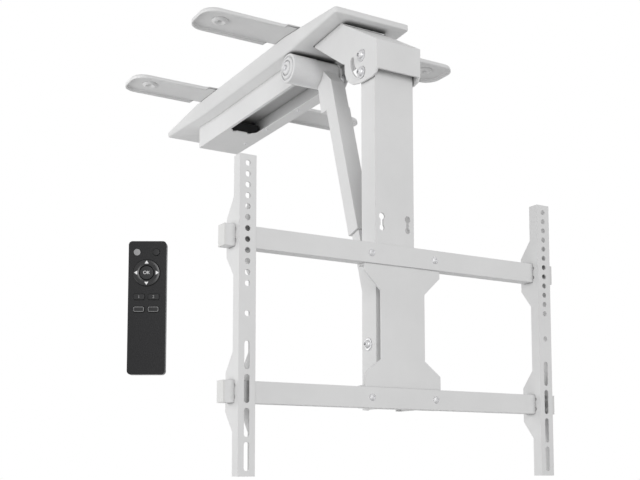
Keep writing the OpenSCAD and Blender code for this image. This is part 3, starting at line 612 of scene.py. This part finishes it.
def rim_profile():
    """Rolled rim as (inset, drop), from the web's edge round its fold and down to its end."""
    turns = (math.pi / 2 * step / RIM_STEPS for step in range(RIM_STEPS + 1))
    fold = [(RIM_FOLD * (1 - math.sin(turn)), RIM_FOLD * (1 - math.cos(turn))) for turn in turns]
    return fold + [(0.0, RIM_H)]


def rim_share(x):
    """The rim's height as a share of its full one, which it loses before the tray."""
    return max(0.0, min(1.0, (abs(x) - RIM_END + RIM_RUN_OUT) / RIM_RUN_OUT))


def dimple_rings(bm, at_x, at_y):
    rings = []
    for radius, height in DIMPLE:
        circle = circle_points(radius, DIMPLE_SIDES)
        rings.append(verts_at(bm, [(at_x + x, at_y + y, height) for x, y in circle]))
    return rings


def strap_piece(node, at_y):
    """Pressed strap: a rim that runs out before the tray, a raised dimple at each ceiling hole."""
    bm = bmesh.new()
    rings = []
    for inset, drop in rim_profile():
        points = []
        for x, y in strap_outline():
            px, py = drawn_in(x, y, inset)
            points.append((px, py + at_y, -drop * rim_share(x)))
        rings.append(verts_at(bm, points))
    edges = loop_edges(bm, rings[0])
    for side in (-1, 1):
        dimple = dimple_rings(bm, side * JOIST_X, at_y)
        edges += loop_edges(bm, dimple[0])
        skin(bm, dimple)
    bmesh.ops.triangle_fill(bm, use_beauty=True, edges=edges, normal=(0, 0, 1))
    skin(bm, rings)
    obj = make_facing(node + "_pressed", bm, False, FRAME_WHITE, "root", "frame_white")
    plate_thickness(obj, STRAP_T)
    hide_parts(node)


# Tray

def tray_under(y):
    """Height of the tray's underside at a place along it."""
    front, rear = TRAY_ENDS
    near, far = TRAY_KINKS
    if y < near:
        share = (near - y) / (near - front)
    elif y > far:
        share = (y - far) / (rear - far)
    else:
        share = 0.0
    return -(TRAY_MID_H + (TRAY_END_H - TRAY_MID_H) * share)


def tray_ring(inset, widen, height=None):
    """Ring of the tray's plan, inset all round and widened where it is deep, at a height or else
    on the underside."""
    front, rear = TRAY_ENDS
    middle = (front + rear) / 2
    half = TRAY_HALF_W - inset
    corner = max(TRAY_R - inset, TRAY_R_LEAST)
    corners = outline(2 * half, rear - front - 2 * inset, corner, TRAY_CORNER_STEPS)
    left = [(-half, y - middle) for y in reversed(TRAY_KINKS)]
    right = [(half, y - middle) for y in TRAY_KINKS]
    rear_half = 2 * (TRAY_CORNER_STEPS + 1)
    points = []
    for x, along in corners[:rear_half] + left + corners[rear_half:] + right:
        y = along + middle
        under = tray_under(y)
        depth_share = (-under - TRAY_END_H) / (TRAY_MID_H - TRAY_END_H)
        stretch = 1 + widen * depth_share / half
        points.append((x * stretch, y, under if height is None else height))
    return points


def raised(points, lift):
    return [(x, y, z + lift) for x, y, z in points]


def at_kink(ring, y):
    """A ring's two points at a kink, the left one first."""
    found = (v for v in ring if abs(v.co.y - y * MM) < SAME_PLACE)
    return sorted(found, key=lambda v: v.co.x)


def tray_floor(bm, base):
    """Middle and rear panels, and the front one with the mouth for the bracket's arm."""
    near, far = (y * MM for y in TRAY_KINKS)
    front_panel = [v for v in base if v.co.y <= near + SAME_PLACE]
    rear_panel = [v for v in base if v.co.y >= far - SAME_PLACE]
    near_kink, far_kink = (at_kink(base, y) for y in TRAY_KINKS)
    bm.faces.new((near_kink[0], far_kink[0], far_kink[1], near_kink[1]))
    bm.faces.new(around(rear_panel))
    (left, front), (right, rear) = ARM_MOUTH
    corners = ((left, front), (right, front), (right, rear), (left, rear))
    mouth = verts_at(bm, [(x, y, tray_under(y)) for x, y in corners])
    edges = loop_edges(bm, around(front_panel)) + loop_edges(bm, mouth)
    bmesh.ops.triangle_fill(bm, use_beauty=True, edges=edges, normal=(0, 0, -1))


def tray_piece():
    """Folded tray whose sides slope where it is deep, with a lip turned in round its top."""
    bm = bmesh.new()
    turn = TRAY_FOLD * FOLD_MIDDLE
    rings = [
        verts_at(bm, tray_ring(TRAY_FOLD, 0.0)),
        verts_at(bm, raised(tray_ring(turn, 0.0), turn)),
        verts_at(bm, raised(tray_ring(0.0, TRAY_FLARE * FLARE_AT_FOLD), TRAY_FOLD)),
    ]
    for inset, drop in TRAY_RIM:
        rings.append(verts_at(bm, tray_ring(inset, TRAY_FLARE, -STRAP_T - drop)))
    rings.append(verts_at(bm, tray_ring(TRAY_LIP, 0.0, -STRAP_T)))
    tray_floor(bm, rings[0])
    skin(bm, rings)
    obj = make_facing("tray_folded", bm, True, FRAME_WHITE, "root", "frame_white")
    plate_thickness(obj, SHEET_T)
    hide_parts("tray")


# Remote control

def remote_place():
    turn = Matrix.Rotation(math.radians(CAMERA_TURN_DEG), 4, "Z")
    return Matrix.Translation(Vector(REMOTE_AT) * MM) @ turn


def key_pieces(matrix):
    """Keys that stand proud of the remote's face with a softened rim."""
    small, middle = circle_points(SMALL_KEY_R), circle_points(OK_R)
    bar = outline(*BAR_KEY, BAR_KEY_R)
    top = -REMOTE_T / 2 - KEY_PROUD
    levels = [(1.0, KEY_BACK)] + [(share, top + drop) for share, drop in KEY_CROWN]
    for name, points, (at_x, at_z), slot in (
        ("power_key", small, POWER_AT, "key_grey"),
        ("light_key", small, LIGHT_AT, "key_rubber"),
        ("ok_key", middle, RING_AT, "key_rubber"),
        ("number_key_1", bar, (COL_LEFT, ROW_NUMBER), "key_rubber"),
        ("number_key_2", bar, (COL_RIGHT, ROW_NUMBER), "key_rubber"),
        ("memory_key_1", bar, (COL_LEFT, ROW_MEMORY), "key_rubber"),
        ("memory_key_2", bar, (COL_RIGHT, ROW_MEMORY), "key_rubber"),
    ):
        bm = bmesh.new()
        loft(bm, [([(x * share + at_x, z * share + at_z) for x, z in points], depth)
                  for share, depth in levels], matrix)
        obj = make(name + "_cap", bm, SLOT_MATERIALS[slot], name, slot)
        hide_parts(name)


def ring_key_piece(matrix):
    """Glossy ring with a softened edge round its outside and its bore."""
    low, top = -KEY_BACK, REMOTE_T / 2 + KEY_PROUD
    outside = [(RING_R - inset, top - drop) for inset, drop in RING_RIM]
    inside = [(RING_BORE + inset, top - drop) for inset, drop in BORE_RIM]
    profile = [(RING_R, low)] + outside + inside + [(RING_BORE, low)]
    bm = bmesh.new()
    forwards = Matrix.Rotation(math.radians(90), 4, "X")
    outwards = matrix @ Matrix.Translation((RING_AT[0], 0, RING_AT[1])) @ forwards
    rings = []
    for radius, height in profile:
        points = circle_points(radius, RING_SIDES)
        rings.append([bm.verts.new(outwards @ Vector((x, y, height))) for x, y in points])
    skin(bm, rings + rings[:1])
    obj = make("ring_key_cap", bm, RING_BLACK, "ring_key", "key_rubber")
    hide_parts("ring_key")


def arrow_prints(depth, matrix):
    """Four arrows round the middle of the ring's face."""
    reach = (RING_BORE + RING_R) / 2
    for index, turn in enumerate((0, 90, 180, 270)):
        c, s = math.cos(math.radians(turn)), math.sin(math.radians(turn))
        corners = [(reach + x, z) for x, z in ARROW]
        points = [(RING_AT[0] + x * c - z * s, RING_AT[1] + x * s + z * c) for x, z in corners]
        bm = bmesh.new()
        loft(bm, [(points, depth + PRINT_T), (points, depth)], matrix)
        make("arrow_%d" % index, bm, PRINT_WHITE, "ring_key", "key_rubber")


def border_prints(depth, matrix):
    """Thin printed line round the top of each memory key."""
    width, height = BAR_KEY
    outside, inside = (outline(width - cut, height - cut, radius)
                       for cut, radius in (BORDER_OUTSIDE, BORDER_INSIDE))
    under = depth + PRINT_T
    levels = ((outside, under), (outside, depth), (inside, depth), (inside, under))
    for key, column in (("memory_key_1", COL_LEFT), ("memory_key_2", COL_RIGHT)):
        bm = bmesh.new()
        skin(bm, [[bm.verts.new(matrix @ Vector((x + column, y, z + ROW_MEMORY))) for x, z in line]
                  for line, y in levels])
        make(key + "_border", bm, PRINT_GREY, key, "key_rubber")


def label_prints(depth):
    upright = Matrix.Rotation(math.radians(90), 4, "X")
    for text, size, at, body in LABELS:
        curve = bpy.data.curves.new("label_" + text, "FONT")
        curve.body = text
        curve.size = size * MM
        curve.extrude = LABEL_T * MM
        curve.align_x = "CENTER"
        curve.align_y = "CENTER"
        obj = bpy.data.objects.new("label_" + text, curve)
        bpy.context.scene.collection.objects.link(obj)
        local = Matrix.Translation(Vector((at[0], depth, at[1])) * MM) @ upright
        obj.matrix_world = remote_place() @ local
        curve.materials.append(PRINT_WHITE if text == "OK" else PRINT_GREY)
        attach(obj, body)


def remote_pieces():
    matrix = remote_place() @ Matrix.Scale(MM, 4)
    key_pieces(matrix)
    ring_key_piece(matrix)
    print_depth = -REMOTE_T / 2 - KEY_PROUD - PRINT_LIFT
    arrow_prints(print_depth, matrix)
    border_prints(print_depth, matrix)
    label_prints(print_depth)


# Stage

def floor_plane():
    mesh = bpy.data.meshes.new("floor")
    level = cad_box[0][2] - FLOOR_DROP
    sides = ((-1, -1), (1, -1), (1, 1), (-1, 1))
    corners = [(x * FLOOR_HALF, y * FLOOR_HALF, level) for x, y in sides]
    mesh.from_pydata(corners, [], [(0, 1, 2, 3)])
    floor = bpy.data.objects.new("floor", mesh)
    bpy.context.scene.collection.objects.link(floor)
    floor_mat, tree, bsdf = new_material("floor_white")
    mottle = noise(tree, *FLOOR_MOTTLE)
    tint = ramp(tree, mottle.outputs["Fac"], *(grey(tone) for tone in FLOOR_TINTS))
    tree.links.new(tint, bsdf.inputs["Base Color"])
    bsdf.inputs["Roughness"].default_value = FLOOR_ROUGH
    mesh.materials.append(floor_mat)


def studio_world():
    """Soft light, strongest from the mount's own level; camera and reflections see plain white."""
    world = bpy.data.worlds.new("studio")
    bpy.context.scene.world = world
    world.use_nodes = True
    tree = world.node_tree
    tree.nodes.clear()
    out = tree.nodes.new("ShaderNodeOutputWorld")
    mix = tree.nodes.new("ShaderNodeMixShader")
    coord = tree.nodes.new("ShaderNodeTexCoord")
    split = tree.nodes.new("ShaderNodeSeparateXYZ")
    span = tree.nodes.new("ShaderNodeMapRange")
    span.inputs["From Min"].default_value = -1.0
    span.inputs["From Max"].default_value = 1.0
    sky = tree.nodes.new("ShaderNodeValToRGB")
    stops = sky.color_ramp.elements
    for place, level in WORLD_LEVELS[1:-1]:
        stops.new(place).color = (*grey(level), 1.0)
    for stop, (place, level) in ((stops[0], WORLD_LEVELS[0]), (stops[-1], WORLD_LEVELS[-1])):
        stop.position = place
        stop.color = (*grey(level), 1.0)
    light = tree.nodes.new("ShaderNodeBackground")
    plain = tree.nodes.new("ShaderNodeBackground")
    plain.inputs["Color"].default_value = (1.0, 1.0, 1.0, 1.0)
    plain.inputs["Strength"].default_value = 1.0
    path = tree.nodes.new("ShaderNodeLightPath")
    seen = path.outputs["Is Camera Ray"]
    for kind in ("Is Glossy Ray", "Is Transmission Ray"):
        either = tree.nodes.new("ShaderNodeMath")
        either.operation = "MAXIMUM"
        tree.links.new(seen, either.inputs[0])
        tree.links.new(path.outputs[kind], either.inputs[1])
        seen = either.outputs["Value"]
    tree.links.new(coord.outputs["Generated"], split.inputs["Vector"])
    tree.links.new(split.outputs["Z"], span.inputs["Value"])
    tree.links.new(span.outputs["Result"], sky.inputs["Fac"])
    tree.links.new(sky.outputs["Color"], light.inputs["Color"])
    tree.links.new(seen, mix.inputs["Fac"])
    tree.links.new(light.outputs["Background"], mix.inputs[1])
    tree.links.new(plain.outputs["Background"], mix.inputs[2])
    tree.links.new(mix.outputs["Shader"], out.inputs["Surface"])


def lamps():
    for name, at, aim, size, power in LAMPS:
        lamp = bpy.data.lights.new(name, "AREA")
        lamp.energy = power
        lamp.size = size
        obj = bpy.data.objects.new(name, lamp)
        bpy.context.scene.collection.objects.link(obj)
        obj.location = at
        obj.rotation_euler = (Vector(aim) - Vector(at)).to_track_quat("-Z", "Y").to_euler()


def camera():
    data = bpy.data.cameras.new("camera")
    data.sensor_width = SENSOR
    data.lens = FOCAL_PX * SENSOR / PICTURE_W
    data.shift_x = (PICTURE_W / 2 - AXIS_PX[0]) / PICTURE_W
    data.shift_y = (AXIS_PX[1] - PICTURE_H / 2) / PICTURE_W
    data.clip_end = CAMERA_REACH
    obj = bpy.data.objects.new("camera", data)
    bpy.context.scene.collection.objects.link(obj)
    obj.location = CAMERA_AT
    obj.rotation_euler = (math.radians(90 + CAMERA_UP_DEG), 0.0, math.radians(CAMERA_TURN_DEG))
    bpy.context.scene.camera = obj


dress_nodes()
bar_bolt_pieces()
through_bolt("pivot_bolt_detailed", "pivot_bolt", "root", 0.0, BRACKET_HALF + WASHER_T)
through_bolt("guide_bolts_detailed", "guide_bolts", "mast", GUIDE_DROP,
             BRACKET_HALF + SLIDE_GAP + WASHER_T)
side_bolt_pieces()
channel_screw_pieces()
motor_cap_piece()
for strap_node, strap_y in STRAP_YS:
    strap_piece(strap_node, strap_y)
tray_piece()
remote_pieces()
bpy.context.scene.view_settings.view_transform = "Standard"
floor_plane()
studio_world()
lamps()
camera()
